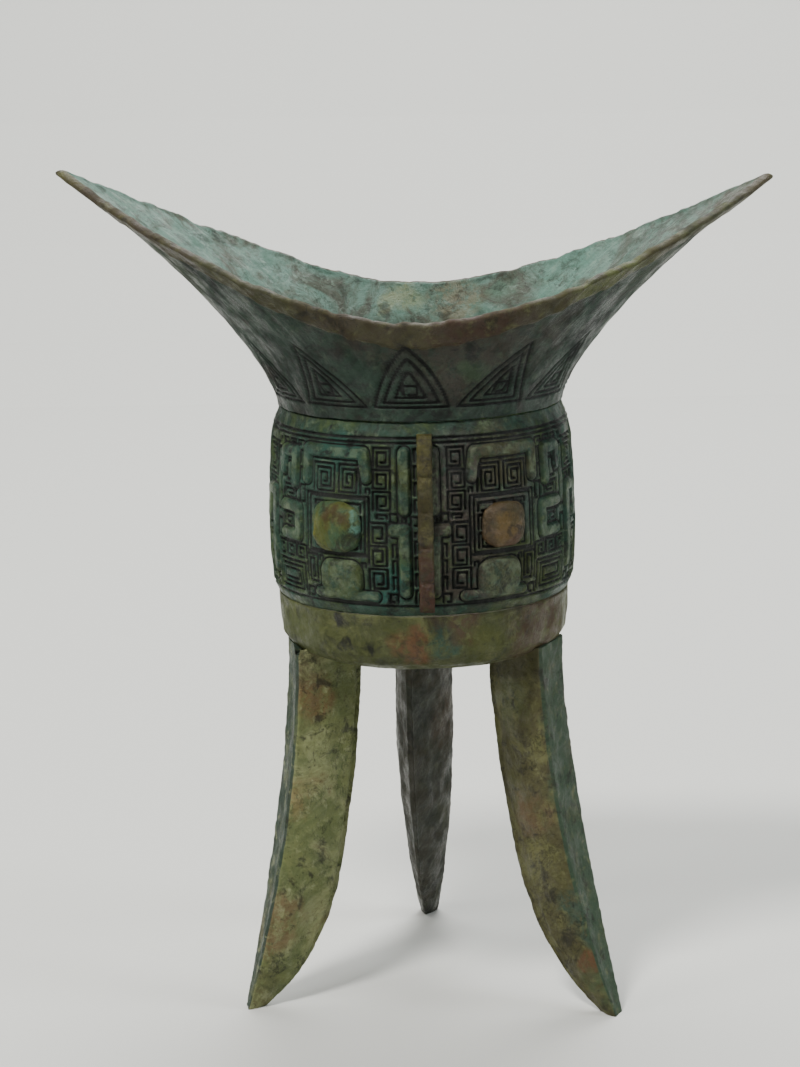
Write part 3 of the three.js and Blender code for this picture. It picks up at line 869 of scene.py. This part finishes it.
def makeHandle():
    mesh, angle, share = ringGrid(220, 96, 0, math.pi)
    turn = share * 2 * math.pi
    # a rounded square section with two shallow grooves along the outer face
    side = signedPower(np.cos(turn), handle["square"])
    rise = signedPower(np.sin(turn), handle["square"])
    groove = sum(np.exp(-((side - place) / handle["grooveHalf"]) ** 2)
                 for place in (handle["grooveAt"], -handle["grooveAt"])) * (rise > 0.6) * handle["grooveDeep"]
    sweep = angle - math.pi / 2                    # -90 at the foot, 90 at the shoulder
    thick = handle["bar"] / 2
    outward = handle["outward"] - thick + rise * thick - groove
    upward = handle["upward"] - thick + rise * thick - groove
    x = side * handle["width"] / 2
    y = handle["root"] + outward * np.cos(sweep)
    z = handle["middle"] + upward * np.sin(sweep)
    writePoints(mesh, np.stack((x, y, z), axis=1))
    roughen(mesh, 0.16, 3.0, 4, 8.2)
    return finishPiece(mesh, "handle_bar", [patina("handle bronze", handleLook)], None,
                       ("handle_loop",))


head = {
    "start": 38.2, "length": 27.0, "cuts": 39, "least": 2.2, "footRound": 0.28, "crownRound": 0.35,
    # by share of the length: height of the crown and half of the width
    "crown": ((0, 147.6), (0.25, 149.4), (0.55, 147.2), (0.8, 142.8), (1, 138.2)),
    "half": ((0, 5.2), (0.2, 7.0), (0.5, 6.2), (0.8, 5.6), (1, 4.2)),
    # on both sides alike: place and reach sideways, place and reach lengthwise, height
    "eyes": (3.6, 1.5, 0.5, 0.07, 1.1), "horns": (4.4, 1.3, 0.2, 0.13, 0.9),
    "nostrils": (2.0, 0.6, 0.92, 0.03, -0.7), "browHalf": 0.45, "browDeep": 0.5,
}


def makeHead():
    bm = bmesh.new()
    bmesh.ops.create_cube(bm, size=2)
    bmesh.ops.subdivide_edges(bm, edges=bm.edges, cuts=head["cuts"], use_grid_fill=True)
    mesh = newMesh(bm, "head")
    points = readPoints(mesh)
    # a wedge from brow to muzzle that bends down over the loop
    forward = (points[:, 1] + 1) / 2
    lengthwise = head["start"] + forward * head["length"]
    crown = np.interp(forward, *np.array(head["crown"]).T)
    inside = np.clip((lengthwise - handle["root"]) / (handle["outward"] + 0.2), 0, 1)
    under = handle["middle"] + (handle["upward"] + 0.1) * np.sqrt(1 - inside ** 2)
    half = np.interp(forward, *np.array(head["half"]).T)
    rounded = 1 - head["footRound"] * np.abs(points[:, 2]) ** 4
    x = points[:, 0] * half * rounded
    upper = (points[:, 2] + 1) / 2
    bulge = 1 - head["crownRound"] * np.abs(points[:, 0]) ** 3
    z = under + (np.maximum(crown, under + head["least"]) - under) * upper * bulge

    def bumpAt(sidePlace, sideReach, longPlace, longReach, tall):
        gap = ((np.abs(x) - sidePlace) / sideReach) ** 2 + ((forward - longPlace) / longReach) ** 2
        return np.exp(-gap) * tall

    top = upper > 0.7
    brow = np.exp(-(x / head["browHalf"]) ** 2) * head["browDeep"]
    z = z + (bumpAt(*head["eyes"]) + bumpAt(*head["horns"]) - brow) * top + bumpAt(*head["nostrils"])
    writePoints(mesh, np.stack((x, lengthwise, z), axis=1))
    roughen(mesh, 0.14, 2.6, 4, 9.6)
    return finishPiece(mesh, "beast_head", [patina("head bronze", handleLook)], None,
                       ("handle_beast_head",))


handleLook = {
    "tones": ("#39473a", "#4f6450", "#5f6a4a", "#4b5a44"), "pale": "#8f9c78", "dark": "#1c2119", "crust": 0.6,
    "patches": ((0, 62, 140, 8, "#6d6444", 0.6), (0, 58, 116, 8, "#4c7463", 0.6)),
}


# set: camera, floor and light

shot = {"place": (12.84, -664.58, 255.67), "tilt": 0.2059, "roll": -0.0215, "turn": 0.0279,
        "focal": 2700.0, "frameHeight": 1067.0}


def makeCamera():
    cosTilt, sinTilt = math.cos(shot["tilt"]), math.sin(shot["tilt"])
    cosTurn, sinTurn = math.cos(shot["turn"]), math.sin(shot["turn"])
    forward = Vector((-sinTurn * cosTilt, cosTurn * cosTilt, -sinTilt))
    levelRight = Vector((cosTurn, sinTurn, 0))
    levelUp = Vector((-sinTurn * sinTilt, cosTurn * sinTilt, cosTilt))
    right = levelRight * math.cos(shot["roll"]) + levelUp * math.sin(shot["roll"])
    up = levelUp * math.cos(shot["roll"]) - levelRight * math.sin(shot["roll"])
    data = bpy.data.cameras.new("camera")
    data.sensor_width = 36
    data.lens = shot["focal"] / shot["frameHeight"] * 36
    camera = bpy.data.objects.new("camera", data)
    turn = Matrix((right, up, -forward)).transposed().to_4x4()
    place = Vector((shot["place"][0] + axisX, shot["place"][1] + axisY, shot["place"][2])) * mm
    camera.matrix_world = Matrix.Translation(place) @ turn
    bpy.context.scene.collection.objects.link(camera)
    bpy.context.scene.camera = camera


def makeLight(name, place, aim, size, power, colour):
    data = bpy.data.lights.new(name, "AREA")
    data.shape = "DISK"
    data.size = size
    data.energy = power
    data.color = colour
    light = bpy.data.objects.new(name, data)
    light.location = place
    light.rotation_euler = (Vector(aim) - Vector(place)).to_track_quat("-Z", "Y").to_euler()
    bpy.context.scene.collection.objects.link(light)


studio = {"floor": "#bcbdb9", "sky": "#d2d3cc", "skyPower": 0.13,
          "halfFloor": 4, "sweepStart": 0.9, "sweep": 0.8, "backHeight": 3.0}
# in metres and watts: place, aim, size, power and colour
lamps = {
    "key": ((-0.5, -0.7, 1.5), (0, 0, 0.12), 0.32, 34, (1, 0.98, 0.94)),
    "side": ((-1.0, -0.5, 0.45), (0, 0, 0.1), 0.4, 5, (1, 0.98, 0.95)),
    "edge": ((1.0, -0.25, 0.6), (0, 0, 0.1), 0.5, 8, (0.95, 0.98, 1)),
    "back": ((0.2, 1.0, 1.3), (0, 0, 0.15), 0.8, 16, (1, 1, 1)),
    "backdrop": ((0, 0.9, 2.4), (0, 2.2, 0.3), 1.5, 80, (1, 1, 0.98)),
}


def makeSet():
    bm = bmesh.new()
    bmesh.ops.create_grid(bm, x_segments=60, y_segments=60, size=studio["halfFloor"])
    for vert in bm.verts:      # the floor sweeps up into a backdrop
        rise = max(0.0, vert.co.y - studio["sweepStart"])
        vert.co.z = min(rise * rise * studio["sweep"], studio["backHeight"] + rise)
    floor = bpy.data.objects.new("floor", newMesh(bm, "floor"))
    material = bpy.data.materials.new("pale floor")
    material.use_nodes = True
    shader = material.node_tree.nodes["Principled BSDF"]
    shader.inputs["Base Color"].default_value = tone(studio["floor"])
    shader.inputs["Roughness"].default_value = 0.9
    floor.data.materials.append(material)
    bpy.context.scene.collection.objects.link(floor)
    world = bpy.data.worlds.new("studio")
    world.use_nodes = True
    sky = world.node_tree.nodes["Background"]
    sky.inputs["Color"].default_value = tone(studio["sky"])
    sky.inputs["Strength"].default_value = studio["skyPower"]
    bpy.context.scene.world = world
    for name, lamp in lamps.items():
        makeLight(name, *lamp)


makeCamera()
makeSet()
print("camera, floor and light are set")

maskField = maskRelief()
print("relief is drawn")
makeMouth()
makeDrum("drum_front", math.pi, ("belly_drum",))
makeDrum("drum_rear", 0, ())
makeBowl()
makeLeg("leg_front_left", legPlaces["leg_front_left"], litLeftLegLook, 1.3)
makeLeg("leg_front_right", legPlaces["leg_front_right"], rightLegLook, 5.1)
makeLeg("leg_rear", legPlaces["leg_rear"], rearLegLook, 7.7)
makeFlange()
makeEye("front_left", -90 - eye["turn"], leftEyeLook, 1.0, 2.2)
makeEye("front_right", -90 + eye["turn"], rightEyeLook, 0.88, 3.4)
makeEye("rear_left", 90 + eye["turn"], leftEyeLook, 0.96, 4.4)
makeEye("rear_right", 90 - eye["turn"], rightEyeLook, 0.96, 5.2)
makeHandle()
makeHead()
